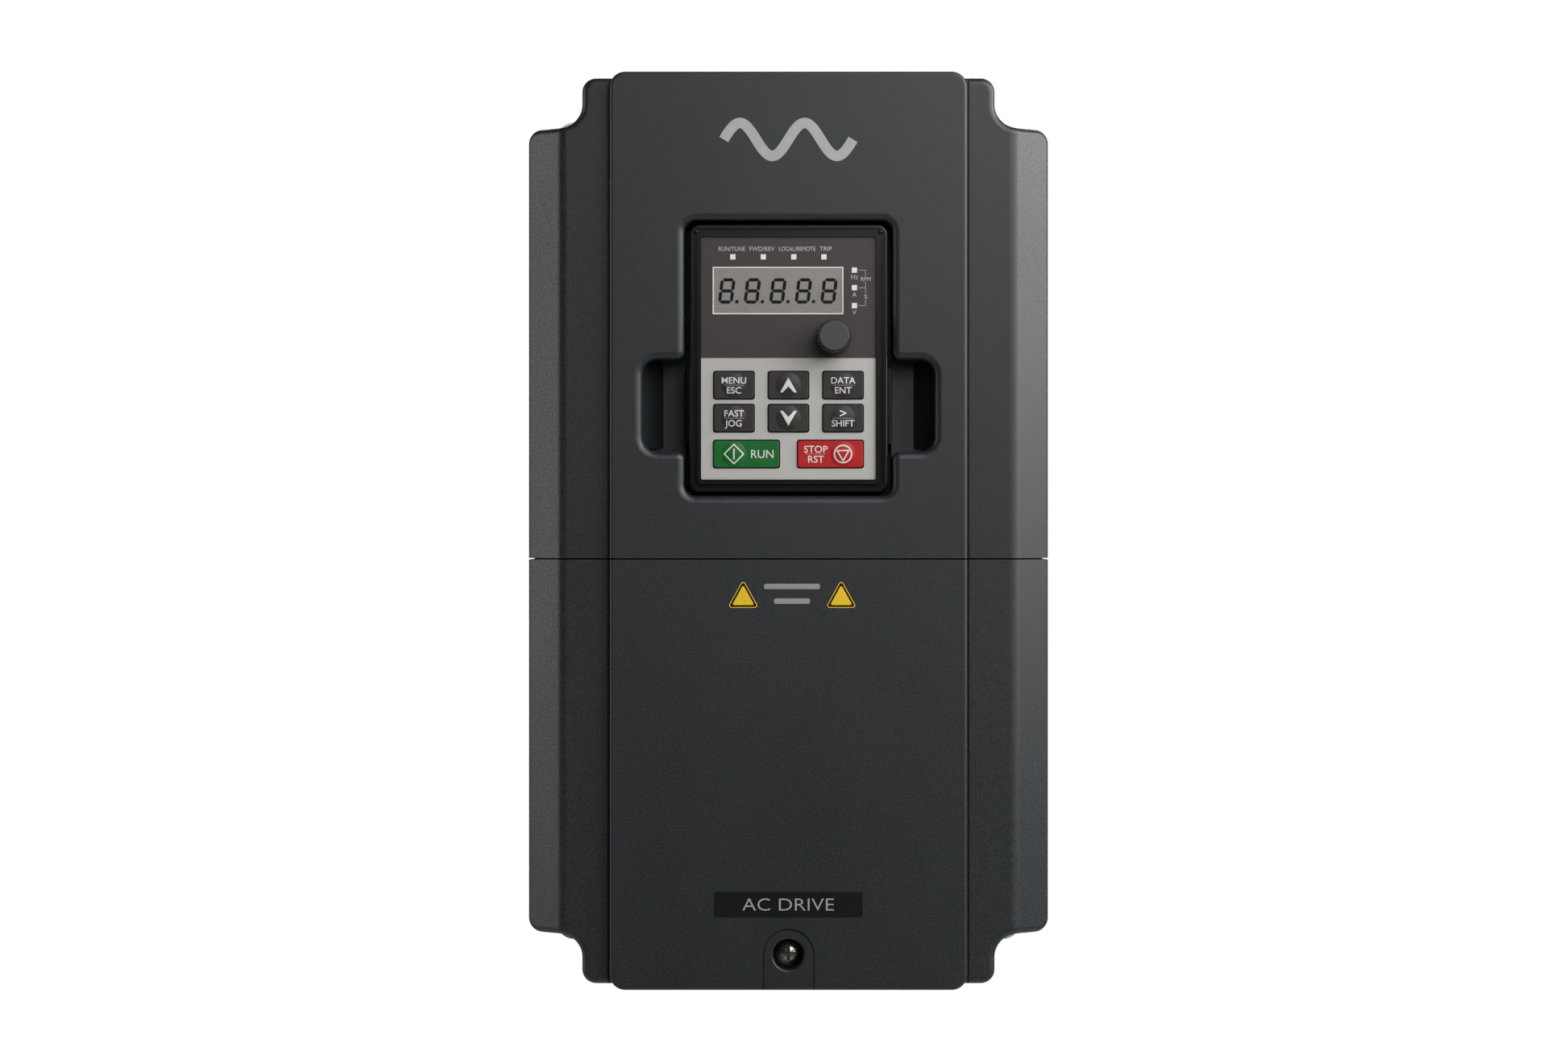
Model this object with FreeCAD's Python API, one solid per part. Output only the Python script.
"""Wall-mounted variable frequency drive of the 4 to 5.5 kW frame size, as separate sub-parts.

Millimetres, +Z up, the front faces -Y. The origin is on the wall plane, at the centre of the four
mounting holes. Every entry of build_all() is written to parts/NAME.step.
"""
import FreeCAD, Part
import math
import os
from FreeCAD import Vector

# ---- driving dimensions ------------------------------------------------------------------------
WIDTH = 146.0               # over the side walls
HEIGHT = 256.0              # over the raised centre panel, and over the mounting plate
DEPTH = 167.0               # wall to the face of the knob
KNOB_PROUD = 8.0            # the knob stands this far in front of the panel
HOLE_SPACING_X = 131.0      # mounting holes
HOLE_SPACING_Z = 243.5
HOLE_R = 3.0
REAR_DEPTH = 84.5           # heat sink part, wall to the joint with the front part

PANEL_Y = KNOB_PROUD - DEPTH            # front face of the raised panel
PANEL_STEP = 3.0                        # panel above the shoulders
SHOULDER_Y = PANEL_Y + PANEL_STEP
PANEL_W = 99.6
PANEL_CORNER = 4.3
PANEL_EDGE = 0.9                        # rounding of the panel's front edge
FACET_X = 63.5                          # where the 45 degree side facets start
RIDGE_R = 4.0
SHOULDER_EDGE = 1.8
WALL = 2.5

BODY_HALF_H = 126.5                     # half height of the body behind the panel
NOTCH_X = 57.6                          # corner notches: inner side wall
NOTCH_Z = 112.7                         # and floor
NOTCH_CONCAVE = 6.5
NOTCH_CONVEX = 3.9

COVER_BACK_Y = -118.4                   # the covers end here
FRAME_FRONT_Y = -118.2
SEAM_Z = -7.85                          # joint between upper and lower cover
SEAM_GAP = 0.4

REAR_INSET = 0.8                        # the heat sink housing is this much smaller all round
PLATE_T = 2.0                           # mounting plate
PARTITION_BACK_Y = -70.0                # front face of the heat sink base
PARTITION_FRONT_Y = -72.5
BOARD_T = 1.6
POWER_BOARD_Y = -84.8                   # back face of the power board
TRAY_Y = -118.0                         # back face of the board tray
TRAY_T = 2.0
CONTROL_BOARD_Y = -126.0                # back face of the control board

# keypad, measured from its own centre
KEYPAD_W = 55.3
KEYPAD_H = 74.5
KEYPAD_Z = 48.1
RECESS_W = 57.9
RECESS_H = 76.7
RECESS_FLOOR_Y = PANEL_Y + 20.0
POCKET_W = 81.4                         # finger pockets, over both sides
POCKET_H = 25.6
POCKET_Z = 34.9
POCKET_FLOOR_Y = PANEL_Y + 14.0
RIM_R = 2.1                             # rounding around the recess
BEZEL_Y = PANEL_Y + 1.0
OVERLAY_Y = BEZEL_Y + 0.6
OVERLAY_T = 0.5
OVERLAY_W = 48.7
OVERLAY_H = 67.6
DECK_T = 1.5
DECK_Y = OVERLAY_Y + OVERLAY_T          # front of the deck under the overlay
KEYPAD_SPLIT_Y = -150.0                 # bezel in front, rear case behind
KEYPAD_BACK_Y = RECESS_FLOOR_Y - 0.6
KEYPAD_BOARD_Y = -147.0                 # back face

KEY_H = 7.5
KEY_W = 11.1
WIDE_KEY_W = 18.2
KEY_GAP = 0.3
KEY_PROUD = 0.5
KEY_TRAVEL = 0.5
DOME_R = 3.5
DOME_RISE = 0.35
# name: x and z of the centre, x of the dome, wide or not
KEYS = {
    "key_program": (-15.2, 40.6, -15.2, False),
    "key_up": (0.0, 40.6, 0.0, False),
    "key_enter": (15.2, 40.6, 15.2, False),
    "key_jog": (-15.2, 31.4, -15.2, False),
    "key_down": (0.0, 31.4, 0.0, False),
    "key_shift": (15.2, 31.4, 15.2, False),
    "key_run": (-11.7, 21.4, -15.2, True),
    "key_stop": (11.7, 21.4, 15.2, True),
}
WINDOW_X, WINDOW_Z, WINDOW_W, WINDOW_H = -2.9, 67.0, 36.1, 12.9
LIGHT_SIZE = 1.45
LIGHTS = [(x, 76.4) for x in (-15.5, -7.0, 1.5, 9.9)] + [(18.4, z) for z in (72.7, 67.8, 62.8)]
KNOB_X, KNOB_Z = 12.7, 54.1
KNOB_R = 4.9
KNOB_TOP_R = 4.2
KNOB_TEETH = 40
SHAFT_R = 2.0

SCREW_Z = -118.1                        # captive screw of the lower cover
SCREW_HEAD_R = 3.9
SCREW_SHANK_R = 2.0
SCREW_SEAT_Y = PANEL_Y + 5.0
SCREW_TIP_Y = PANEL_Y + 17.0
SCREW_POST_Y = PANEL_Y + 13.6           # front face of the post behind the speed nut
SPEED_NUT_T = 0.8
RETAINER_T = 0.8
GROUND_PLATE_Y = (-86.6, -84.6)
GROUND_SCREWS = [(-22.0, -115.5), (22.0, -115.5)]

FAN_SIZE = 50.0
FAN_T = 20.0
FAN_X = 25.5
FAN_Y = -32.5
FAN_Z = 100.5                           # underside of the fans
FAN_DUCT_R = 23.5
FAN_HUB_R = 10.0
FAN_BLADES = 7

FIN_COUNT = 20
SINK_W = 122.0
SINK_Z = (-106.0, 96.0)
FIN_T = 1.6
SINK_BASE_T = 8.0

CABLE_X = (-33.0, 0.0, 33.0)
CABLE_Y = -99.8
CABLE_HOLE_R = 10.5
ENTRY_Y = (-113.0, -86.5)                # opening in the floor for the cable entry plate
CABLE_BORE_R = 7.0

POWER_POLES = 9
POWER_PITCH = 11.5
CONTROL_POLES = 16
CONTROL_PITCH = 5.08


# ---- shape helpers -----------------------------------------------------------------------------
def box(x, y, z):
    """A box from three (low, high) pairs."""
    low = Vector(min(x), min(y), min(z))
    return Part.makeBox(abs(x[1] - x[0]), abs(y[1] - y[0]), abs(z[1] - z[0]), low)


def rounded_wire(points, radii):
    """A closed wire in the XZ plane through the corner points, each rounded by its own radius."""
    count = len(points)
    corners = [Vector(x, 0, z) for x, z in points]
    ends = []
    for i, corner in enumerate(corners):
        back = (corners[i - 1] - corner).normalize()
        ahead = (corners[(i + 1) % count] - corner).normalize()
        radius = radii[i]
        if radius <= 0:
            ends.append((corner, None, corner))
            continue
        half = back.getAngle(ahead) / 2
        reach = radius / math.tan(half)
        middle = corner + (back + ahead).normalize() * (radius / math.sin(half) - radius)
        ends.append((corner + back * reach, middle, corner + ahead * reach))
    edges = []
    for i, (start, middle, end) in enumerate(ends):
        if middle is not None:
            edges.append(Part.Arc(start, middle, end).toShape())
        following = ends[(i + 1) % count][0]
        if end.distanceToPoint(following) > 1e-6:
            edges.append(Part.LineSegment(end, following).toShape())
    return Part.Wire(edges)


def prism(wire, y0, y1):
    """A wire of the XZ plane as a solid from y0 to y1."""
    face = Part.Face(wire)
    face.translate(Vector(0, min(y0, y1), 0))
    return face.extrude(Vector(0, abs(y1 - y0), 0))


def plate(width, height, radius, y0, y1, x=0.0, z=0.0):
    """A rounded rectangle in XZ, from y0 to y1, centred on (x, z)."""
    w, h = width / 2, height / 2
    points = [(x + w, z - h), (x + w, z + h), (x - w, z + h), (x - w, z - h)]
    return prism(rounded_wire(points, [radius] * 4), y0, y1)


def rod_y(x, z, radius, y0, y1):
    return Part.makeCylinder(radius, abs(y1 - y0), Vector(x, min(y0, y1), z), Vector(0, 1, 0))


def rod_z(x, y, radius, z0, z1):
    return Part.makeCylinder(radius, abs(z1 - z0), Vector(x, y, min(z0, z1)), Vector(0, 0, 1))


def extrude_z(points, z0, z1):
    """A polygon of (x, y) points as a solid from z0 to z1."""
    wire = Part.makePolygon([Vector(x, y, z0) for x, y in points + points[:1]])
    return Part.Face(wire).extrude(Vector(0, 0, z1 - z0))


def joined(shapes):
    shapes = list(shapes)
    return shapes[0].fuse(shapes[1:]).removeSplitter() if len(shapes) > 1 else shapes[0]


def without(shape, tools):
    return shape.cut(list(tools))


def group(shapes):
    """Identical separate solids kept as one node."""
    return Part.makeCompound(list(shapes))


def edges_at(shape, test):
    """The edges whose bounding box passes the test."""
    return [e for e in shape.Edges if test(e.BoundBox)]


def flat_y(y, tolerance=0.01):
    """A test for edges that lie in the plane y."""
    return lambda b: abs(b.YMin - y) < tolerance and abs(b.YMax - y) < tolerance


def mirrored(shape):
    """The same shape on the other side of the YZ plane."""
    return shape.mirror(Vector(0, 0, 0), Vector(1, 0, 0))


def notched(inset, y0, y1):
    """The body outline with its four corner notches, moved inwards by inset."""
    w, h = WIDTH / 2 - inset, BODY_HALF_H - inset
    nx, nz = NOTCH_X - inset, NOTCH_Z - inset
    convex = max(NOTCH_CONVEX - inset, 0.4)
    concave = NOTCH_CONCAVE + inset
    quarter = [(w, nz, convex), (nx, nz, concave), (nx, h, convex)]
    left = [(-x, z, r) for x, z, r in reversed(quarter)]
    upper = quarter + left
    lower = [(x, -z, r) for x, z, r in reversed(upper)]
    ring = upper + lower
    return prism(rounded_wire([(x, z) for x, z, _ in ring], [r for _, _, r in ring]), y0, y1)


def cross_recess(x, z, top, head_r, head_t):
    """The two crossed slots in the top of a screw head."""
    slot_w, slot_l, slot_d = head_r * 0.24, head_r * 1.15, head_t * 0.6
    return [
        box((x - slot_w / 2, x + slot_w / 2), (top - 1, top + slot_d), (z - slot_l / 2, z + slot_l / 2)),
        box((x - slot_l / 2, x + slot_l / 2), (top - 1, top + slot_d), (z - slot_w / 2, z + slot_w / 2)),
    ]


def pan_screw(x, z, seat_y, head_r, head_t, shank_r, length):
    """A cross-recess pan head screw along Y, with its head in front of seat_y."""
    top = seat_y - head_t
    head = rod_y(x, z, head_r, top, seat_y)
    head = head.makeFillet(head_t * 0.55, edges_at(head, flat_y(top)))
    head = without(head, cross_recess(x, z, top, head_r, head_t))
    return joined([head, rod_y(x, z, shank_r, seat_y, seat_y + length)])


# ---- casing ------------------------------------------------------------------------------------
def facet_cut(inset):
    """The wedge that leaves the right 45 degree facet, moved inwards by inset."""
    shift = inset * math.sqrt(2)
    far = WIDTH / 2 + 3
    front = SHOULDER_Y - 1
    start = FACET_X - 1 - shift
    return extrude_z(
        [(start, front), (far, front), (far, front + far - start)], -BODY_HALF_H - 1, BODY_HALF_H + 1
    )


def front_outside():
    """The outside of both covers as one solid, before the seam is cut."""
    body = notched(0, COVER_BACK_Y, SHOULDER_Y)
    wedge = facet_cut(0)
    body = without(body, [wedge, mirrored(wedge)])
    ridges = edges_at(
        body, lambda b: abs(abs(b.XMin) - FACET_X) < 0.01 and b.XLength < 0.01 and b.ZLength > 100
    )
    body = body.makeFillet(RIDGE_R, ridges)
    outline = [
        e
        for e in body.Edges
        if e.BoundBox.YMax < COVER_BACK_Y + (SHOULDER_Y - COVER_BACK_Y) * 0.5
        and not (e.BoundBox.XLength < 0.01 and e.BoundBox.ZLength > 200 and abs(e.BoundBox.XMin) < 70)
        and not (e.BoundBox.XLength < 0.01 and e.BoundBox.ZLength < 0.01)
    ]
    body = body.makeFillet(SHOULDER_EDGE, outline)
    panel = plate(PANEL_W, HEIGHT, PANEL_CORNER, COVER_BACK_Y, PANEL_Y)
    panel = panel.makeFillet(PANEL_EDGE, edges_at(panel, flat_y(PANEL_Y)))
    return joined([body, panel])


def front_inside():
    """The hollow of both covers."""
    body = notched(WALL, COVER_BACK_Y + 1, SHOULDER_Y + WALL)
    wedge = facet_cut(WALL)
    body = without(body, [wedge, mirrored(wedge)])
    panel = plate(
        PANEL_W - 2 * WALL, HEIGHT - 2 * WALL, PANEL_CORNER - WALL, COVER_BACK_Y + 1, PANEL_Y + WALL
    )
    return joined([body, panel])


def shadow_groove():
    """The narrow channel at the foot of the raised panel, on both sides."""
    width, depth = 0.7, 1.2
    right = box(
        (PANEL_W / 2, PANEL_W / 2 + width),
        (SHOULDER_Y - 1, SHOULDER_Y + depth),
        (-BODY_HALF_H - 1, BODY_HALF_H + 1),
    )
    return [right, mirrored(right)]


def covers():
    """Upper and lower cover, hollow, parted at the seam."""
    shell = without(front_outside(), shadow_groove())
    shell = without(shell, [front_inside()])
    everything = (-200, 200)
    above = box(everything, everything, (SEAM_Z + SEAM_GAP / 2, 200))
    below = box(everything, everything, (-200, SEAM_Z - SEAM_GAP / 2))
    return shell.common(above), shell.common(below)


def opening_wire(grow):
    """The outline of the keypad recess together with the finger pockets."""
    w, h = RECESS_W / 2 + grow, RECESS_H / 2 + grow
    pw, ph = POCKET_W / 2 + grow, POCKET_H / 2 + grow
    inner, outer = 2.2, 4.2
    right = [
        (w, KEYPAD_Z - h, 3.0),
        (w, POCKET_Z - ph, inner),
        (pw, POCKET_Z - ph, outer),
        (pw, POCKET_Z + ph, outer),
        (w, POCKET_Z + ph, inner),
        (w, KEYPAD_Z + h, 3.0),
    ]
    ring = right + [(-x, z, r) for x, z, r in reversed(right)]
    return rounded_wire([(x, z) for x, z, _ in ring], [r for _, _, r in ring])


def side_slots(y0, y1, z_values, height):
    """Vent slots through both side walls."""
    half = WIDTH / 2
    slots = []
    for z in z_values:
        slot = box((half - 8, half + 8), (y0, y1), (z - height / 2, z + height / 2))
        slots += [slot, mirrored(slot)]
    return slots


def upper_cover(shell):
    recess_wall = 2.0
    shroud = joined([
        prism(opening_wire(recess_wall), PANEL_Y + 1.0, POCKET_FLOOR_Y + recess_wall),
        plate(
            RECESS_W + 2 * recess_wall, RECESS_H + 2 * recess_wall, 3.0,
            PANEL_Y + 1.0, RECESS_FLOOR_Y + recess_wall, 0, KEYPAD_Z,
        ),
    ])
    cover = joined([shell, shroud])
    cover = without(cover, [
        prism(opening_wire(0), PANEL_Y - 1, POCKET_FLOOR_Y),
        plate(RECESS_W, RECESS_H, 3.0, PANEL_Y - 1, RECESS_FLOOR_Y, 0, KEYPAD_Z),
    ])
    rim = edges_at(
        cover,
        lambda b: flat_y(PANEL_Y)(b) and b.XMax < 45 and b.XMin > -45 and b.ZMin > 0 and b.ZMax < 100,
    )
    cover = cover.makeFillet(RIM_R, rim)
    pocket_ramps = [finger_ramp(side) for side in (-1, 1)]
    window_y = (RECESS_FLOOR_Y - 1, RECESS_FLOOR_Y + 5)
    socket_window = box((-9, 9), window_y, (KEYPAD_Z - 8, KEYPAD_Z + 8))
    vents = side_slots(-140.0, -124.0, [24 + 9 * i for i in range(9)], 3.0)
    cover = without(joined([cover] + pocket_ramps), [socket_window] + vents)
    tabs = [fixing_tab(side) for side in (-1, 1)]
    return joined([cover] + tabs)


def finger_ramp(side):
    """The sloping outer wall of a finger pocket."""
    outer, inner = POCKET_W / 2 + 0.5, POCKET_W / 2 - 6.0
    deep, shallow = POCKET_FLOOR_Y + 0.5, POCKET_FLOOR_Y - 6.0
    z0, z1 = POCKET_Z - POCKET_H / 2 + 1.0, POCKET_Z + POCKET_H / 2 - 1.0
    points = [(side * outer, deep), (side * inner, deep), (side * outer, shallow)]
    return extrude_z(points, z0, z1)


def fixing_tab(side):
    """A tab of the upper cover that reaches down behind the lower cover and takes a screw."""
    x0, x1 = 35.0, 45.0
    bottom = -22.0
    tab = joined([
        box((x0, x1), (-149.5, -147.5), (bottom, SEAM_Z + 6)),
        box((x0, x1), (PANEL_Y + WALL - 0.5, -147.5), (SEAM_Z + 3, SEAM_Z + 6)),
    ])
    tab = without(tab, [rod_y(40.0, -15.0, 1.8, -152, -145)])
    return tab if side > 0 else mirrored(tab)


def screw_arch(radius, depth):
    """A round-topped slab around the cover screw, open at the bottom of the cover."""
    y = (PANEL_Y - 1, PANEL_Y + depth)
    return joined([
        box((-radius, radius), y, (SCREW_Z, -HEIGHT / 2 - 2)),
        rod_y(0, SCREW_Z, radius, *y),
    ])


def lower_cover(shell):
    """The lower cover with its hooks, screw pocket and a groove in the shape of an arch."""
    pocket_r, boss_r, seat_t = 4.35, 6.5, 2.5
    arch_w, groove_w, groove_depth = 14.6, 0.6, 0.55
    boss = rod_y(0, SCREW_Z, boss_r, PANEL_Y + 1.0, SCREW_SEAT_Y + seat_t)
    cover = joined([shell, boss])
    groove = without(
        screw_arch(arch_w / 2, groove_depth), [screw_arch(arch_w / 2 - groove_w, groove_depth + 1)]
    )
    cover = without(cover, [
        groove,
        rod_y(0, SCREW_Z, pocket_r, PANEL_Y - 1, SCREW_SEAT_Y),
        rod_y(0, SCREW_Z, SCREW_SHANK_R + 0.35, PANEL_Y, SCREW_SEAT_Y + seat_t + 1),
    ])
    mouth = edges_at(cover, lambda b: flat_y(PANEL_Y)(b) and abs(b.XLength - 2 * pocket_r) < 0.1)
    cover = cover.makeFillet(0.6, mouth)
    hooks = []
    for x in (-22.0, 22.0):
        root_z = (SEAM_Z - 8, SEAM_Z - SEAM_GAP / 2)
        root = box((x - 4, x + 4), (PANEL_Y + WALL - 0.5, PANEL_Y + 5.0), root_z)
        tip = box((x - 4, x + 4), (PANEL_Y + WALL + 0.4, PANEL_Y + 5.0), (SEAM_Z - 1, SEAM_Z + 4.5))
        hooks += [root, tip]
    return joined([cover] + hooks)


def mid_frame():
    """The middle body section: vented side walls, locating lip, tray ears and the screw post."""
    frame = without(
        notched(0, -REAR_DEPTH, FRAME_FRONT_Y), [notched(WALL, -REAR_DEPTH + 1, FRAME_FRONT_Y - 1)]
    )
    lip_gap, lip_t, lip_reach = 0.35, 1.1, 3.0
    lip = without(
        notched(WALL + lip_gap, FRAME_FRONT_Y + 4, FRAME_FRONT_Y - lip_reach),
        [notched(WALL + lip_gap + lip_t, FRAME_FRONT_Y + 5, FRAME_FRONT_Y - lip_reach - 1)],
    )
    collar = without(
        notched(WALL - 0.2, FRAME_FRONT_Y + 4, FRAME_FRONT_Y + 0.8),
        [notched(WALL + lip_gap + lip_t, FRAME_FRONT_Y + 5, FRAME_FRONT_Y)],
    )
    ears = []
    for z in (-60.0, 90.0):
        ear = box((60.0, WIDTH / 2 - 1), (TRAY_Y, TRAY_Y + 14), (z - 6, z + 6))
        ears += [ear, mirrored(ear)]
    post = box((-7.5, 7.5), (SCREW_POST_Y, FRAME_FRONT_Y + 6.4), (SCREW_Z - 5.9, SCREW_Z + 6.0))
    frame = joined([frame, lip, collar, post] + ears)
    top_slots = [
        box((x - 1.5, x + 1.5), (-112.0, -92.0), (BODY_HALF_H - 6, BODY_HALF_H + 4))
        for x in [-44 + 8 * i for i in range(12)]
    ]
    ear_holes = [rod_y(x, z, 1.5, TRAY_Y - 1, TRAY_Y + 10) for x, z in tray_ear_places()]
    cable_opening = box((-50, 50), ENTRY_Y, (-BODY_HALF_H - 1, -BODY_HALF_H + 2.6))
    return without(
        frame,
        side_slots(-113.0, -90.0, [-92 + 8 * i for i in range(24)], 3.0)
        + top_slots
        + ear_holes
        + [cable_opening, rod_y(0, SCREW_Z, 4.0, SCREW_POST_Y - 1, SCREW_POST_Y + 12)],
    )


def rear_housing():
    """The duct around the heat sink: partition in front, fan opening above, intake slots below."""
    duct_wall = 2.5
    outside = notched(REAR_INSET, -PLATE_T, -REAR_DEPTH + 0.2)
    duct = notched(REAR_INSET + duct_wall, -PLATE_T + 1, PARTITION_BACK_Y)
    front = notched(REAR_INSET + duct_wall, PARTITION_FRONT_Y, -REAR_DEPTH - 1)
    fan_opening = box((-53.2, 53.2), (-59.6, -5.4), (BODY_HALF_H - 10, BODY_HALF_H + 4))
    through = (PARTITION_BACK_Y + 1, PARTITION_FRONT_Y - 1)
    window = plate(98, 130, 4, *through, 0, -24)
    intake = [
        box((x - 2, x + 2), (-58.0, -8.0), (-BODY_HALF_H - 2, -BODY_HALF_H + 8))
        for x in [-48 + 8 * i for i in range(13)]
    ]
    holes = [rod_y(x, z, 2.0, *through) for x, z in sink_screw_places()]
    shell = without(outside, [duct, front, fan_opening, window] + intake + holes)
    boss_y = (PARTITION_FRONT_Y + 0.5, GROUND_PLATE_Y[1])
    bosses = [rod_y(x, z, 5.5, *boss_y) for x, z in GROUND_SCREWS]
    pilots = [rod_y(x, z, 1.95, boss_y[1] - 1, boss_y[1] + 8) for x, z in GROUND_SCREWS]
    return without(joined([shell] + bosses), pilots)


def mounting_plate():
    """The steel back plate, with a mounting hole in the ear at each corner."""
    sheet = plate(WIDTH, HEIGHT, 6.0, -PLATE_T, 0)
    holes = [
        rod_y(x * HOLE_SPACING_X / 2, z * HOLE_SPACING_Z / 2, HOLE_R, -PLATE_T - 1, 1)
        for x in (-1, 1)
        for z in (-1, 1)
    ]
    beads = [plate(100, 5, 2.4, -0.7, 1, 0, z) for z in (-72.0, -24.0, 24.0, 72.0)]
    screws = []
    for x, z in plate_screw_places():
        screws.append(rod_y(x, z, 1.7, -PLATE_T - 1, 1))
        screws.append(Part.makeCone(1.7, 3.2, 1.6, Vector(x, -1.5, z), Vector(0, 1, 0)))
    return without(sheet, holes + beads + screws)


# ---- heat sink and power electronics -----------------------------------------------------------
def sink_screw_places():
    return [(x, z) for x in (-56.5, 56.5) for z in (-98.0, 0.0, 88.0)]


def plate_screw_places():
    return [(x, z) for x in (-66.0, 66.0) for z in (-60.0, 0.0, 60.0)]


def heat_sink():
    """A base plate with separate straight fins brazed to its back."""
    half = SINK_W / 2
    base = box((-half, half), (PARTITION_BACK_Y + SINK_BASE_T, PARTITION_BACK_Y), SINK_Z)
    pitch = (SINK_W - FIN_T) / (FIN_COUNT - 1)
    fins = [
        box(
            (-half + i * pitch, -half + i * pitch + FIN_T),
            (PARTITION_BACK_Y + SINK_BASE_T, -PLATE_T - 2),
            SINK_Z,
        )
        for i in range(FIN_COUNT)
    ]
    holes = [
        rod_y(x, z, 1.6, PARTITION_BACK_Y - 1, PARTITION_BACK_Y + 6) for x, z in sink_screw_places()
    ]
    return group([without(base, holes)] + fins)


def plate_screw(x, z):
    """A countersunk screw from the back, flush with the mounting plate."""
    head = Part.makeCone(1.6, 3.0, 1.4, Vector(x, -1.5, z), Vector(0, 1, 0))
    shank = rod_y(x, z, 1.6, -9.0, -1.4)
    slot = box((x - 2.2, x + 2.2), (-0.7, 1), (z - 0.4, z + 0.4))
    cross = box((x - 0.4, x + 0.4), (-0.7, 1), (z - 2.2, z + 2.2))
    return without(joined([head, shank]), [slot, cross])


def inverter_module():
    """The transistor module, bolted to the heat sink base."""
    y0, y1 = PARTITION_BACK_Y, PARTITION_BACK_Y - 12
    body = plate(62, 48, 2, y0, y1, -14, -30)
    step = plate(50, 36, 2, y1, y1 - 1.2, -14, -30)
    pins = [
        rod_y(-14 + x, -30 + z, 0.5, y1 + 1, POWER_BOARD_Y)
        for x in (-22, -11, 0, 11, 22)
        for z in (-14.5, 14.5)
    ]
    return joined([body, step] + pins)


def rectifier_module():
    y0, y1 = PARTITION_BACK_Y, PARTITION_BACK_Y - 10
    pins = [rod_y(34 + x, -30 + z, 0.6, y1 + 1, POWER_BOARD_Y) for x in (-7, 7) for z in (-7, 7)]
    return joined([plate(26, 30, 2, y0, y1, 34, -30)] + pins)


def power_board():
    board = plate(118, 196, 2, POWER_BOARD_Y, POWER_BOARD_Y - BOARD_T, 0, 6)
    holes = [rod_y(x, z, 1.6, POWER_BOARD_Y + 1, POWER_BOARD_Y - 3) for x, z in standoff_places()]
    return without(board, holes)


def standoff_places():
    return [(x, z) for x in (-54.0, 54.0) for z in (-62.0, 20.0, 98.0)]


def board_standoffs():
    """Hexagonal pillars between the partition and the power board."""
    pillars = []
    for x, z in standoff_places():
        hexagon = [
            (x + 3.2 * math.cos(math.radians(60 * i)), z + 3.2 * math.sin(math.radians(60 * i)))
            for i in range(6)
        ]
        pillar = prism(rounded_wire(hexagon, [0] * 6), PARTITION_FRONT_Y, POWER_BOARD_Y)
        pillars.append(without(pillar, [rod_y(x, z, 1.25, POWER_BOARD_Y - 1, POWER_BOARD_Y + 7)]))
    return group(pillars)


def board_screws():
    face = POWER_BOARD_Y - BOARD_T
    return group(pan_screw(x, z, face, 2.8, 2.0, 1.2, 6.5) for x, z in standoff_places())


def capacitor_places():
    upper_row = [(x, 78.0) for x in (-36.0, -12.0, 12.0, 36.0)]
    lower_row = [(x, 52.0) for x in (-36.0, -12.0)]
    return upper_row + lower_row


def bus_capacitors():
    """Electrolytic cans with a rolled groove near the board and scored tops."""
    face = POWER_BOARD_Y - BOARD_T
    tall, radius = 30.0, 11.0
    cans = []
    for x, z in capacitor_places():
        can = rod_y(x, z, radius, face, face - tall)
        can = can.makeFillet(1.0, edges_at(can, flat_y(face - tall)))
        ring = rod_y(x, z, radius + 1, face - 3.2, face - 4.4)
        ring = ring.cut(rod_y(x, z, radius - 0.6, face - 2, face - 6))
        score = [
            box((x - 6, x + 6), (face - tall - 1, face - tall + 0.4), (z - 0.3, z + 0.3)),
            box((x - 0.3, x + 0.3), (face - tall - 1, face - tall + 0.4), (z - 6, z + 6)),
        ]
        cans.append(without(can, [ring] + score))
    return group(cans)


def relays():
    face = POWER_BOARD_Y - BOARD_T
    return group(plate(18, 15, 1, face, face - 15, x, 50) for x in (16.0, 40.0))


def filter_choke():
    """A toroidal core standing on the power board, with its winding as raised bands."""
    face = POWER_BOARD_Y - BOARD_T
    x, z, outer, inner, thick = 34.0, 8.0, 14.0, 7.5, 11.0
    core = rod_y(x, z, outer, face, face - thick).cut(rod_y(x, z, inner, face + 1, face - thick - 1))
    middle = (outer + inner) / 2
    wire_t, turn_count, sector = 1.7, 14, 320.0
    half_width, half_depth = (outer - inner) / 2 + 1.2, thick / 2 + 0.6
    turns = []
    for i in range(turn_count):
        angle = 20 + i * sector / (turn_count - 1)
        turn = box((-half_width, half_width), (-half_depth, half_depth), (-wire_t / 2, wire_t / 2))
        turn.translate(Vector(middle, 0, 0))
        turn.rotate(Vector(0, 0, 0), Vector(0, 1, 0), -angle)
        turn.translate(Vector(x, face - half_depth, z))
        turns.append(turn)
    above_board = box((x - 30, x + 30), (face, face - 40), (z - 30, z + 30))
    return joined([core] + turns).common(above_board)


def current_sensors():
    """Two ring sensors around the motor output conductors."""
    face = POWER_BOARD_Y - BOARD_T
    rings = []
    for x in (-40.0, -16.0):
        body = plate(16, 16, 2, face, face - 12, x, -58)
        rings.append(without(body, [rod_z(x, face - 6, 3.5, -70, -46)]))
    return group(rings)


def power_terminal_block():
    """Barrier terminal block for supply, motor and brake conductors."""
    face = POWER_BOARD_Y - BOARD_T
    fence_t = 2.0
    half = (POWER_POLES * POWER_PITCH + fence_t) / 2
    z0, z1 = -106.0, -82.0
    body = joined([
        box((-half, half), (face, face - 10), (z0, z1)),
        box((-half, half), (face - 9, face - 18), (z1 - 5, z1)),
    ])
    fences = [
        box(
            (-half + i * POWER_PITCH, -half + i * POWER_PITCH + fence_t),
            (face - 9, face - 18),
            (z0, z1),
        )
        for i in range(POWER_POLES + 1)
    ]
    return joined([body] + fences)


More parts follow.
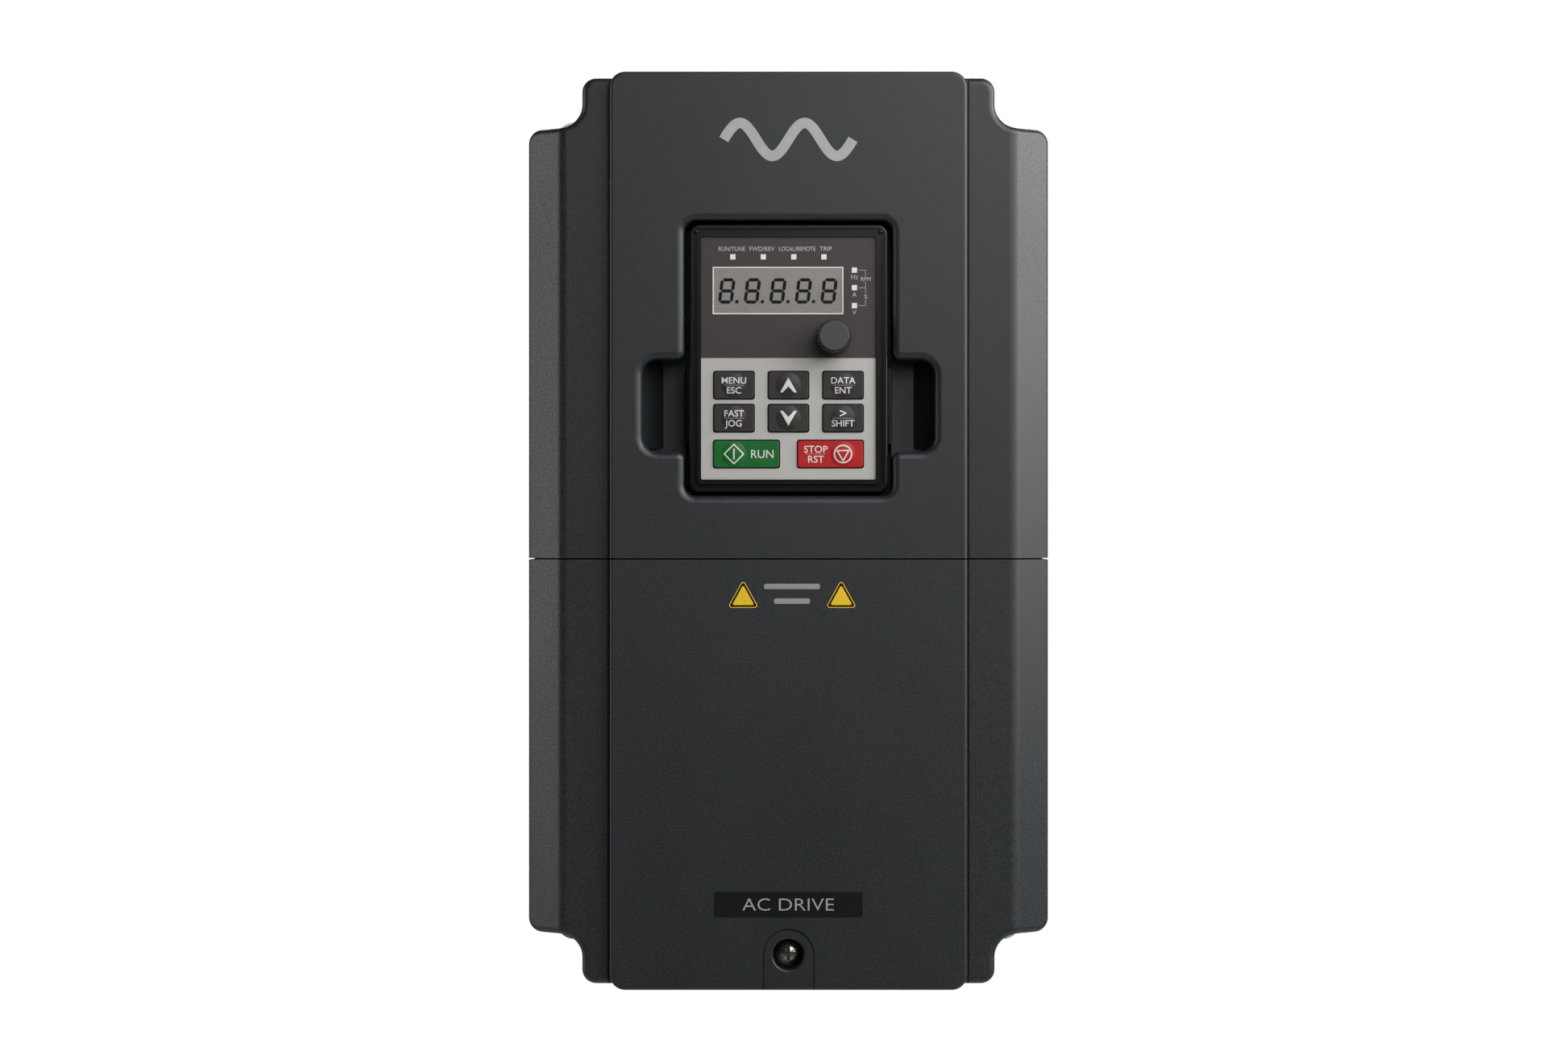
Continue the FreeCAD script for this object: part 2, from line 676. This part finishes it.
def power_terminal_screws():
    """Pan head screws with square clamping washers, one for each pole."""
    face = POWER_BOARD_Y - BOARD_T - 10
    screws = []
    for i in range(POWER_POLES):
        x = (i - (POWER_POLES - 1) / 2) * POWER_PITCH
        washer = plate(7.6, 8.4, 0.6, face, face - 1.0, x, -95.0)
        screws.append(joined([washer, pan_screw(x, -95.0, face - 1.0, 3.3, 2.4, 1.6, 1.0)]))
    return group(screws)


def ground_plate():
    """The earthing bar below the power terminals."""
    bar = box((-34, 34), GROUND_PLATE_Y, (-121.5, -109.5))
    return without(bar, [rod_y(x, z, 2.0, -88, -83) for x, z in GROUND_SCREWS])


def ground_screws():
    return group(pan_screw(x, z, GROUND_PLATE_Y[0], 3.9, 2.6, 1.9, 8.0) for x, z in GROUND_SCREWS)


# ---- control electronics -----------------------------------------------------------------------
def tray_ear_places():
    return [(x, z) for x in (-64.0, 64.0) for z in (-60.0, 90.0)]


def board_tray():
    """The plastic carrier of the control board, with posts for the upper cover's screws."""
    back, front = TRAY_Y, TRAY_Y - TRAY_T
    sheet = plate(124, 172, 3, back, front, 0, 12)
    arms = [box((x - 4.0, x + 4.5), (back, front), (z - 5.5, z + 5.5)) for x, z in tray_ear_places()]
    posts = [rod_y(x, -15.0, 4.0, front + 0.5, -147.5) for x in (-40.0, 40.0)]
    pillars = [rod_y(x, z, 3.0, front + 0.5, CONTROL_BOARD_Y) for x, z in control_pillar_places()]
    rib_height = 3.0
    ribs = [box((-62, 62), (back - 0.5, front - rib_height), (z - 0.8, z + 0.8)) for z in (-72.5, 96.0)]
    tray = joined([sheet] + arms + posts + pillars + ribs)
    holes = [rod_y(x, z, 1.7, back + 1, front - 1) for x, z in tray_ear_places()]
    pilot = [rod_y(x, -15.0, 1.3, -148.5, -138.0) for x in (-40.0, 40.0)]
    pilot += [rod_y(x, z, 1.45, CONTROL_BOARD_Y - 1, TRAY_Y + 1) for x, z in control_pillar_places()]
    louvres = [plate(4, 22, 1.9, back + 1, front - 1, x, 30) for x in (-48, -40, 40, 48)]
    return without(tray, holes + pilot + louvres)


def control_pillar_places():
    return [(x, z) for x in (-48.0, 48.0) for z in (-48.0, 78.0)]


def tray_screws():
    """Eight equal screws: four hold the tray to the frame, four the control board to the tray."""
    seats = [(x, z, TRAY_Y - TRAY_T) for x, z in tray_ear_places()]
    seats += [(x, z, CONTROL_BOARD_Y - BOARD_T) for x, z in control_pillar_places()]
    return group(pan_screw(x, z, seat, 2.9, 2.0, 1.4, 8.0) for x, z, seat in seats)


def upper_cover_screws():
    return group(pan_screw(x, -15.0, -149.5, 2.9, 2.0, 1.25, 9.0) for x in (-40.0, 40.0))


def control_board():
    board = plate(104, 136, 2, CONTROL_BOARD_Y, CONTROL_BOARD_Y - BOARD_T, 0, 15)
    through = (CONTROL_BOARD_Y + 1, CONTROL_BOARD_Y - 3)
    holes = [rod_y(x, -15.0, 4.6, *through) for x in (-40.0, 40.0)]
    holes += [rod_y(x, z, 1.6, *through) for x, z in control_pillar_places()]
    return without(board, holes)


def control_chips():
    """Processor, memory and drivers on the control board."""
    face = CONTROL_BOARD_Y - BOARD_T
    sizes = [(-18, 12, 14, 14), (-18, -10, 7, 5), (6, -10, 7, 5), (8, 12, 10, 8), (30, 0, 8, 6)]
    return group(plate(w, h, 0.5, face, face - 1.6, x, z) for x, z, w, h in sizes)


def control_terminal_block():
    """Rising-clamp terminals along the lower edge of the control board."""
    face = CONTROL_BOARD_Y - BOARD_T
    half = CONTROL_POLES * CONTROL_PITCH / 2
    body = box((-half, half), (face, face - 9), (-52.5, -42.5))
    body = joined([body, box((-half, half), (face, face - 6), (-44, -40))])
    wire_holes = []
    screw_holes = []
    for i in range(CONTROL_POLES):
        x = -half + (i + 0.5) * CONTROL_PITCH
        wire_holes.append(box((x - 1.7, x + 1.7), (face - 4.8, face - 1.4), (-54, -48)))
        screw_holes.append(rod_y(x, -46.5, 1.7, face - 10, face - 6))
    return without(body, wire_holes + screw_holes)


def control_terminal_screws():
    face = CONTROL_BOARD_Y - BOARD_T
    half = CONTROL_POLES * CONTROL_PITCH / 2
    screws = []
    for i in range(CONTROL_POLES):
        x = -half + (i + 0.5) * CONTROL_PITCH
        head = rod_y(x, -46.5, 1.6, face - 8.4, face - 6)
        screws.append(without(head, [box((x - 2, x + 2), (face - 9, face - 7.6), (-46.8, -46.2))]))
    return group(screws)


def ribbon_cable():
    """Flat cable from the power board over the top edge of the tray to the control board."""
    power_face, control_face = POWER_BOARD_Y - BOARD_T, CONTROL_BOARD_Y - BOARD_T
    x0, x1, thick = -14.0, 14.0, 1.0
    top = 106.0
    path = [
        ((x0, x1), (power_face - 3 - thick, power_face - 3), (96.6, top - 3)),
        ((x0, x1), (control_face - 4, control_face - 4 + thick), (74.0, top - 3)),
        ((x0, x1), (power_face - 6, control_face - 1), (top - thick, top)),
    ]
    straight = [box(*p) for p in path]
    bends = []
    for cy, sign in ((power_face - 6, 1), (control_face - 1, -1)):
        ring = Part.makeCylinder(3.0, x1 - x0, Vector(x0, cy, top - 3), Vector(1, 0, 0)).cut(
            Part.makeCylinder(3.0 - thick, x1 - x0 + 2, Vector(x0 - 1, cy, top - 3), Vector(1, 0, 0))
        )
        keep = box((x0, x1), (cy, cy + sign * 4), (top - 3, top + 1))
        bends.append(ring.common(keep))
    plugs = [
        box((x0 - 2, x1 + 2), (power_face, power_face - 6), (92.0, 97.0)),
        box((x0 - 2, x1 + 2), (control_face, control_face - 6), (70.0, 75.0)),
    ]
    return joined(straight + bends + plugs)


def keypad_socket():
    """The socket on the control board that takes the keypad's plug through the recess floor."""
    face = CONTROL_BOARD_Y - BOARD_T
    front = RECESS_FLOOR_Y + 1.0
    body = box((-8, 8), (face, front), (KEYPAD_Z - 7, KEYPAD_Z + 7))
    hollow = box((-6.2, 6.2), (front - 1, face - 3.5), (KEYPAD_Z - 5.2, KEYPAD_Z + 5.2))
    pins = [
        box((x - 0.3, x + 0.3), (face - 2, front - 1.5), (KEYPAD_Z - 0.3, KEYPAD_Z + 0.3))
        for x in (-4.5, -1.5, 1.5, 4.5)
    ]
    return joined([without(body, [hollow])] + pins)


# ---- cable entry -------------------------------------------------------------------------------
def cable_entry_plate():
    """The gland plate in the floor of the middle section, held by a flange inside."""
    bottom, inner_floor = -BODY_HALF_H, -BODY_HALF_H + WALL
    gap = 0.2
    y0, y1 = ENTRY_Y[0] + gap, ENTRY_Y[1] - gap
    tub = box((-50 + gap, 50 - gap), (y0, y1), (bottom, inner_floor + 1.5))
    flange = box((-52.5, 52.5), (y0 - 1.0, y1 + 1.2), (inner_floor + 0.05, inner_floor + 1.5))
    hollow = box((-47.8, 47.8), (y0 + 1.6, y1 - 1.6), (bottom + 2.0, bottom + 8))
    holes = [rod_z(x, CABLE_Y, CABLE_HOLE_R, bottom - 1, bottom + 3) for x in CABLE_X]
    post_gap = box((-8.2, 8.2), (y0 - 2, FRAME_FRONT_Y + 7), (inner_floor, inner_floor + 4))
    return without(joined([tub, flange]), [hollow, post_gap] + holes)


def cable_grommets():
    """Rubber rings in the gland plate, each with a bore for a cable."""
    z0, z1 = -BODY_HALF_H, -BODY_HALF_H + 2.0
    rings = []
    for x in CABLE_X:
        outside = joined([
            rod_z(x, CABLE_Y, CABLE_HOLE_R - 0.05, z0 - 0.5, z1 + 0.5),
            rod_z(x, CABLE_Y, CABLE_HOLE_R + 0.9, z0 - 1.6, z0),
            rod_z(x, CABLE_Y, CABLE_HOLE_R + 0.9, z1, z1 + 1.6),
        ])
        rings.append(without(outside, [rod_z(x, CABLE_Y, CABLE_BORE_R, z0 - 3, z1 + 3)]))
    return group(rings)


# ---- lower cover screw -------------------------------------------------------------------------
def cover_screw():
    """The captive cover screw, with a cross recess in its domed head."""
    head_t, dome_r, play = 2.7, 4.95, 0.05
    seat_y = SCREW_SEAT_Y - play
    top = seat_y - head_t
    dome = Part.makeSphere(dome_r, Vector(0, top + dome_r, SCREW_Z))
    head = rod_y(0, SCREW_Z, SCREW_HEAD_R, top - 1, seat_y).common(dome)
    head = without(head, cross_recess(0, SCREW_Z, top, SCREW_HEAD_R, head_t))
    return joined([head, rod_y(0, SCREW_Z, SCREW_SHANK_R, seat_y, SCREW_TIP_Y - play)])


def screw_retainer():
    """The plastic washer on the thread, which stops at the boss when the screw is fully undone."""
    back = SCREW_POST_Y - SPEED_NUT_T - 0.1
    ring = rod_y(0, SCREW_Z, 4.2, back - RETAINER_T, back)
    return without(ring, [rod_y(0, SCREW_Z, SCREW_SHANK_R + 0.06, back - 2, back + 1)])


def speed_nut():
    """The spring steel nut on the post: two tongues left and right leave an upright slot."""
    front = SCREW_POST_Y - SPEED_NUT_T
    sheet = plate(13.0, 11.4, 1.0, front, SCREW_POST_Y, 0, SCREW_Z + 0.2)
    slot_w, slot_h = 2 * SCREW_SHANK_R + 0.5, 7.0
    slot = plate(slot_w, slot_h, slot_w / 2 - 0.05, front - 1, SCREW_POST_Y + 1, 0, SCREW_Z - 0.4)
    return without(sheet, [slot])


# ---- fans --------------------------------------------------------------------------------------
def fan_cover():
    """The lift-out cage that holds both fans, with a slotted guard on top."""
    x, y = (-52.9, 52.9), (-59.3, -5.7)
    top, guard_t, skirt_t = BODY_HALF_H - REAR_INSET - 0.2, 2.2, 1.2
    lid = box(x, y, (top - guard_t, top))
    inner_x, inner_y = (x[0] + skirt_t, x[1] - skirt_t), (y[0] + skirt_t, y[1] - skirt_t)
    skirt = box(x, y, (FAN_Z + 0.6, top - guard_t + 0.1))
    skirt = skirt.cut(box(inner_x, inner_y, (FAN_Z - 1, top - guard_t)))
    guard_r = 22.5
    guards = []
    for sx in (-FAN_X, FAN_X):
        for i in range(11):
            offset = -20 + 4 * i
            half = math.sqrt(guard_r**2 - offset**2)
            slot_y = (FAN_Y + offset - 1.2, FAN_Y + offset + 1.2)
            guards.append(box((sx - half, sx + half), slot_y, (top - 5, top + 1)))
    bars = [
        box((sx - 1.1, sx + 1.1), (FAN_Y - guard_r, FAN_Y + guard_r), (top - guard_t, top - 0.6))
        for sx in (-FAN_X, FAN_X)
    ]
    grips = [box((-6, 6), (yy - 1.5, yy + 1.5), (top - 0.8, top + 1)) for yy in (y[0] + 3.5, y[1] - 3.5)]
    return joined([without(joined([lid, skirt]), guards + grips)] + bars)


def fan_frames():
    """Two square fan frames, each with a round duct, four holes and a hub on three struts."""
    half, top = FAN_SIZE / 2, FAN_Z + FAN_T
    frames = []
    for x in (-FAN_X, FAN_X):
        body = box((x - half, x + half), (FAN_Y - half, FAN_Y + half), (FAN_Z, top))
        body = body.makeFillet(2.5, edges_at(body, lambda b: b.ZLength > FAN_T - 1))
        cuts = [rod_z(x, FAN_Y, FAN_DUCT_R, FAN_Z - 1, top + 1)]
        for dx in (-20.0, 20.0):
            for dy in (-20.0, 20.0):
                cuts.append(rod_z(x + dx, FAN_Y + dy, 2.1, FAN_Z - 1, top + 1))
        body = without(body, cuts)
        hub = rod_z(x, FAN_Y, FAN_HUB_R, FAN_Z, FAN_Z + 2.5)
        post = rod_z(x, FAN_Y, 2.2, FAN_Z + 2, FAN_Z + 6)
        struts = []
        for i in range(3):
            strut = box((0, FAN_DUCT_R + 0.5), (-1.2, 1.2), (FAN_Z, FAN_Z + 2.2))
            strut.rotate(Vector(0, 0, 0), Vector(0, 0, 1), 30 + 120 * i)
            strut.translate(Vector(x, FAN_Y, 0))
            struts.append(strut)
        frames.append(joined([body, hub, post] + struts))
    return group(frames)


def blade(angle):
    """One fan blade about the Z axis: the section turns from steep at the hub to flat at the tip."""
    root, middle, tip = (FAN_HUB_R - 0.8, 52.0, 10.0), (16.0, 40.0, 12.5), (FAN_DUCT_R - 0.9, 31.0, 15.0)
    sections = []
    for radius, pitch, chord in (root, middle, tip):
        half, thick = chord / 2, 0.55
        c, s = math.cos(math.radians(pitch)), math.sin(math.radians(pitch))
        corners = []
        for u, v in ((-half, -thick), (half, -thick), (half, thick), (-half, thick)):
            corners.append(Vector(radius, u * c - v * s, u * s + v * c))
        sections.append(Part.makePolygon(corners + corners[:1]))
    solid = Part.makeLoft(sections, True, True)
    solid.rotate(Vector(0, 0, 0), Vector(0, 0, 1), angle)
    return solid


def fan_rotor(x):
    """A rotor: hub cup and blades, running on the frame's post."""
    z0, z1 = FAN_Z + 3.2, FAN_Z + 18.2
    hub = rod_z(0, 0, FAN_HUB_R, z0, z1)
    hub = hub.makeFillet(1.2, edges_at(hub, lambda b: abs(b.ZMin - z1) < 0.01))
    bore = rod_z(0, 0, 2.25, z0 - 1, FAN_Z + 6.3)
    blades = []
    for i in range(FAN_BLADES):
        one = blade(i * 360 / FAN_BLADES)
        one.translate(Vector(0, 0, (z0 + z1) / 2))
        blades.append(one)
    swept = rod_z(0, 0, FAN_DUCT_R - 0.7, z0 - 1, z1 + 1)
    rotor = without(joined([hub] + blades).common(swept), [bore])
    rotor.translate(Vector(x, FAN_Y, 0))
    return rotor


# ---- keypad ------------------------------------------------------------------------------------
def key_openings(y0, y1, grow):
    cuts = []
    for x, z, _, wide in KEYS.values():
        width = (WIDE_KEY_W if wide else KEY_W) + 2 * grow
        cuts.append(plate(width, KEY_H + 2 * grow, 0.8, y0, y1, x, z))
    return cuts


def light_openings(y0, y1, grow):
    half = LIGHT_SIZE / 2 + grow
    return [box((x - half, x + half), (y0, y1), (z - half, z + half)) for x, z in LIGHTS]


def window_opening(y0, y1, grow):
    return plate(WINDOW_W + 2 * grow, WINDOW_H + 2 * grow, 0.3, y0, y1, WINDOW_X, WINDOW_Z)


def keypad_bezel():
    """The front half of the keypad case: stepped rim, and the deck that carries the overlay."""
    rim_w, groove_w, groove_d = 1.05, 1.1, 0.9
    stud_r, stud_inset = 0.55, 1.95
    deck_back = DECK_Y + DECK_T
    body = plate(KEYPAD_W, KEYPAD_H, 2.8, BEZEL_Y, KEYPAD_SPLIT_Y, 0, KEYPAD_Z)
    body = body.makeFillet(0.55, edges_at(body, flat_y(BEZEL_Y)))
    inner_w, inner_h = KEYPAD_W - 2 * rim_w, KEYPAD_H - 2 * rim_w
    land_w, land_h = inner_w - 2 * groove_w, inner_h - 2 * groove_w
    groove = plate(inner_w, inner_h, 1.8, BEZEL_Y - 1, BEZEL_Y + groove_d, 0, KEYPAD_Z)
    groove = groove.cut(plate(land_w, land_h, 1.5, BEZEL_Y - 2, BEZEL_Y + 3, 0, KEYPAD_Z))
    overlay_seat = plate(OVERLAY_W + 0.2, OVERLAY_H + 0.2, 0.6, BEZEL_Y - 1, DECK_Y, 0, KEYPAD_Z)
    hollow = plate(KEYPAD_W - 4, KEYPAD_H - 4, 1.5, deck_back, KEYPAD_SPLIT_Y + 1, 0, KEYPAD_Z)
    holes = key_openings(BEZEL_Y - 1, deck_back + 1, KEY_GAP)
    holes += light_openings(BEZEL_Y - 1, deck_back + 1, 0.03)
    holes += [window_opening(BEZEL_Y - 1, deck_back + 1, 0.05)]
    holes += [rod_y(KNOB_X, KNOB_Z, 3.9, BEZEL_Y - 1, deck_back + 1)]
    bezel = without(body, [groove, overlay_seat, hollow] + holes)
    stud_x, stud_z = KEYPAD_W / 2 - stud_inset, KEYPAD_Z + KEYPAD_H / 2 - stud_inset
    for x in (-stud_x, stud_x):
        stud = rod_y(x, stud_z, stud_r, BEZEL_Y - 0.15, BEZEL_Y + groove_d + 0.3)
        bezel = bezel.fuse(stud.makeFillet(0.3, edges_at(stud, flat_y(BEZEL_Y - 0.15))))
    return bezel


def keypad_overlay():
    """The printed front sheet, cut out for keys, window, lights and potentiometer."""
    sheet = plate(OVERLAY_W, OVERLAY_H, 0.5, OVERLAY_Y, DECK_Y, 0, KEYPAD_Z)
    holes = key_openings(OVERLAY_Y - 1, DECK_Y + 1, KEY_GAP)
    holes += light_openings(OVERLAY_Y - 1, DECK_Y + 1, 0.03)
    holes += [window_opening(OVERLAY_Y - 1, DECK_Y + 1, 0.05)]
    holes += [rod_y(KNOB_X, KNOB_Z, 3.9, OVERLAY_Y - 1, DECK_Y + 1)]
    return without(sheet, holes)


def keypad_rear_case():
    """The back half of the keypad case, with a squeeze latch on each side."""
    body = plate(KEYPAD_W, KEYPAD_H, 2.8, KEYPAD_SPLIT_Y + 0.05, KEYPAD_BACK_Y, 0, KEYPAD_Z)
    body = body.makeFillet(1.0, edges_at(body, flat_y(KEYPAD_BACK_Y)))
    hollow = plate(KEYPAD_W - 4, KEYPAD_H - 4, 1.5, KEYPAD_SPLIT_Y - 1, KEYPAD_BACK_Y - 1.8, 0, KEYPAD_Z)
    plug_hole = box((-5.8, 5.8), (KEYPAD_BACK_Y - 5, KEYPAD_BACK_Y + 2), (KEYPAD_Z - 4.8, KEYPAD_Z + 4.8))
    case = without(body, [hollow, plug_hole])
    latch = keypad_latch()
    return joined([case, latch, mirrored(latch)])


def keypad_latch():
    """The right squeeze latch of the keypad, with four grip grooves."""
    edge = KEYPAD_W / 2
    front, grip_pitch, grip_w = -151.5, 1.6, 0.7
    arm = box((edge - 0.3, edge + 1.4), (front, POCKET_FLOOR_Y - 0.5), (POCKET_Z - 10.5, POCKET_Z + 10.5))
    arm = arm.makeFillet(0.6, edges_at(arm, lambda b: b.XMin > edge + 1.0))
    grips = []
    for i in range(4):
        start = front + 0.5 + grip_pitch * i
        grips.append(box((edge + 1.1, edge + 2), (start, start + grip_w), (POCKET_Z - 8, POCKET_Z + 8)))
    beside_bezel = box((0, edge + 0.05), (-160, KEYPAD_SPLIT_Y + 0.05), (0, 100))
    return without(arm, grips + [beside_bezel])


def display_window():
    return window_opening(OVERLAY_Y + 0.05, DECK_Y + DECK_T, 0)


def display_module():
    """The five-digit display block behind the window."""
    back = KEYPAD_BOARD_Y - BOARD_T
    return plate(WINDOW_W + 1.6, WINDOW_H + 1.6, 0.5, DECK_Y + DECK_T + 0.1, back, WINDOW_X, WINDOW_Z)


def indicator_lights():
    """Square light pipes from the board to the front of the overlay."""
    back = KEYPAD_BOARD_Y - BOARD_T
    half = LIGHT_SIZE / 2
    return group(
        box((x - half, x + half), (OVERLAY_Y - 0.02, back), (z - half, z + half)) for x, z in LIGHTS
    )


def keypad_board():
    front = KEYPAD_BOARD_Y - BOARD_T
    return plate(KEYPAD_W - 5, KEYPAD_H - 5, 1, front, KEYPAD_BOARD_Y, 0, KEYPAD_Z)


def keypad_plug():
    """The plug on the back of the keypad board, which enters the socket."""
    tip = CONTROL_BOARD_Y - BOARD_T - 4.5
    body = box((-5.4, 5.4), (KEYPAD_BOARD_Y, tip), (KEYPAD_Z - 4.4, KEYPAD_Z + 4.4))
    hollow = box((-5.0, 5.0), (tip + 1, KEYPAD_BOARD_Y + 6), (KEYPAD_Z - 1.2, KEYPAD_Z + 1.2))
    return without(body, [hollow])


def potentiometer():
    """The potentiometer under the knob, with its threaded bush."""
    back = KEYPAD_BOARD_Y - BOARD_T
    body = plate(9.6, 9.6, 1, back, DECK_Y + DECK_T + 0.3, KNOB_X, KNOB_Z)
    bush = rod_y(KNOB_X, KNOB_Z, 3.6, DECK_Y + DECK_T + 1, OVERLAY_Y - 0.6)
    bore = rod_y(KNOB_X, KNOB_Z, SHAFT_R + 0.05, back - 3.5, OVERLAY_Y - 3)
    return without(joined([body, bush]), [bore])


def tact_switches():
    """A push switch under the dome of every key."""
    back = KEYPAD_BOARD_Y - BOARD_T
    switches = []
    for _, z, dome_x, _ in KEYS.values():
        body = plate(6.0, 6.0, 0.5, back, back - 3.4, dome_x, z)
        switches.append(joined([body, rod_y(dome_x, z, 1.7, back - 3.3, back - 4.0)]))
    return group(switches)


def key(name):
    """A key: cap with a low dome, retaining flange behind the deck, and a stem over its switch."""
    x, z, dome_x, wide = KEYS[name]
    width = WIDE_KEY_W if wide else KEY_W
    face = OVERLAY_Y - KEY_PROUD
    flange_front = DECK_Y + DECK_T + 0.1
    cap = plate(width, KEY_H, 0.7, face, flange_front + 0.2, x, z)
    cap = cap.makeFillet(0.2, edges_at(cap, flat_y(face)))
    sphere_r = (DOME_R**2 + DOME_RISE**2) / (2 * DOME_RISE)
    ball = Part.makeSphere(sphere_r, Vector(dome_x, face + sphere_r - DOME_RISE, z))
    dome = ball.common(rod_y(dome_x, z, DOME_R, face - 1, face + 0.4))
    flange = plate(width + 1.4, KEY_H + 1.0, 0.8, flange_front, flange_front + 0.8, x, z)
    stem = rod_y(dome_x, z, 1.6, flange_front + 0.5, KEYPAD_BOARD_Y - BOARD_T - 4.7)
    return joined([cap, dome, flange, stem])


def knob_profile():
    """The toothed outline of the knob, one small trapezium tooth for each step of angle."""
    points = []
    step = 2 * math.pi / KNOB_TEETH
    root = KNOB_R - 0.45
    for i in range(KNOB_TEETH):
        for share, radius in ((0.0, root), (0.3, root), (0.5, KNOB_R), (0.8, KNOB_R)):
            angle = (i + share) * step
            points.append((KNOB_X + radius * math.cos(angle), KNOB_Z + radius * math.sin(angle)))
    return Part.makePolygon([Vector(x, 0, z) for x, z in points + points[:1]])


def knob():
    """The speed knob: toothed skirt and a smooth, slightly smaller cap."""
    top = -DEPTH
    base = OVERLAY_Y - 0.9
    skirt_top = top + 0.6
    skirt = prism(knob_profile(), base, skirt_top)
    cap = Part.makeCone(
        KNOB_TOP_R, KNOB_TOP_R + 0.15, skirt_top - top + 0.3, Vector(KNOB_X, top, KNOB_Z), Vector(0, 1, 0)
    )
    cap = cap.makeFillet(0.35, edges_at(cap, flat_y(top)))
    bore = rod_y(KNOB_X, KNOB_Z, SHAFT_R, base + 1, base - 6)
    return without(joined([skirt, cap]), [bore])


def knob_shaft():
    return rod_y(KNOB_X, KNOB_Z, SHAFT_R, OVERLAY_Y - 6.8, OVERLAY_Y + 5.0)


def name_label():
    """The blank name plate on the lower cover."""
    return plate(41.3, 7.0, 0.3, PANEL_Y - 0.15, PANEL_Y, 0, -104.1)


def build_all():
    upper_shell, lower_shell = covers()
    parts = {
        "mounting_plate": mounting_plate(),
        "plate_screws": group(plate_screw(x, z) for x, z in plate_screw_places()),
        "rear_housing": rear_housing(),
        "heat_sink": heat_sink(),
        "heat_sink_screws": group(
            pan_screw(x, z, PARTITION_FRONT_Y, 3.5, 2.4, 1.55, 6.5) for x, z in sink_screw_places()
        ),
        "mid_frame": mid_frame(),
        "upper_cover": upper_cover(upper_shell),
        "upper_cover_screws": upper_cover_screws(),
        "lower_cover": lower_cover(lower_shell),
        "name_label": name_label(),
        "cover_screw": cover_screw(),
        "screw_retainer": screw_retainer(),
        "speed_nut": speed_nut(),
        "cable_entry_plate": cable_entry_plate(),
        "cable_grommets": cable_grommets(),
        "inverter_module": inverter_module(),
        "rectifier_module": rectifier_module(),
        "board_standoffs": board_standoffs(),
        "power_board": power_board(),
        "board_screws": board_screws(),
        "bus_capacitors": bus_capacitors(),
        "relays": relays(),
        "filter_choke": filter_choke(),
        "current_sensors": current_sensors(),
        "power_terminal_block": power_terminal_block(),
        "power_terminal_screws": power_terminal_screws(),
        "ground_plate": ground_plate(),
        "ground_screws": ground_screws(),
        "board_tray": board_tray(),
        "tray_screws": tray_screws(),
        "control_board": control_board(),
        "control_chips": control_chips(),
        "control_terminal_block": control_terminal_block(),
        "control_terminal_screws": control_terminal_screws(),
        "ribbon_cable": ribbon_cable(),
        "keypad_socket": keypad_socket(),
        "fan_cover": fan_cover(),
        "fan_frames": fan_frames(),
        "fan_rotor_left": fan_rotor(-FAN_X),
        "fan_rotor_right": fan_rotor(FAN_X),
        "keypad_bezel": keypad_bezel(),
        "keypad_overlay": keypad_overlay(),
        "keypad_rear_case": keypad_rear_case(),
        "display_window": display_window(),
        "display_module": display_module(),
        "indicator_lights": indicator_lights(),
        "keypad_board": keypad_board(),
        "keypad_plug": keypad_plug(),
        "potentiometer": potentiometer(),
        "tact_switches": tact_switches(),
        "knob": knob(),
        "knob_shaft": knob_shaft(),
    }
    for name in KEYS:
        parts[name] = key(name)
    return parts


def main():
    os.makedirs("parts", exist_ok=True)
    for name, shape in build_all().items():
        solids = shape.Solids
        bad = [s for s in solids if not s.isValid() or s.Volume <= 0]
        if not solids or bad:
            raise ValueError(name + ": not a set of valid solids")
        shape.exportStep("parts/" + name + ".step")
        print(name, len(solids), round(sum(s.Volume for s in solids), 1))


main()
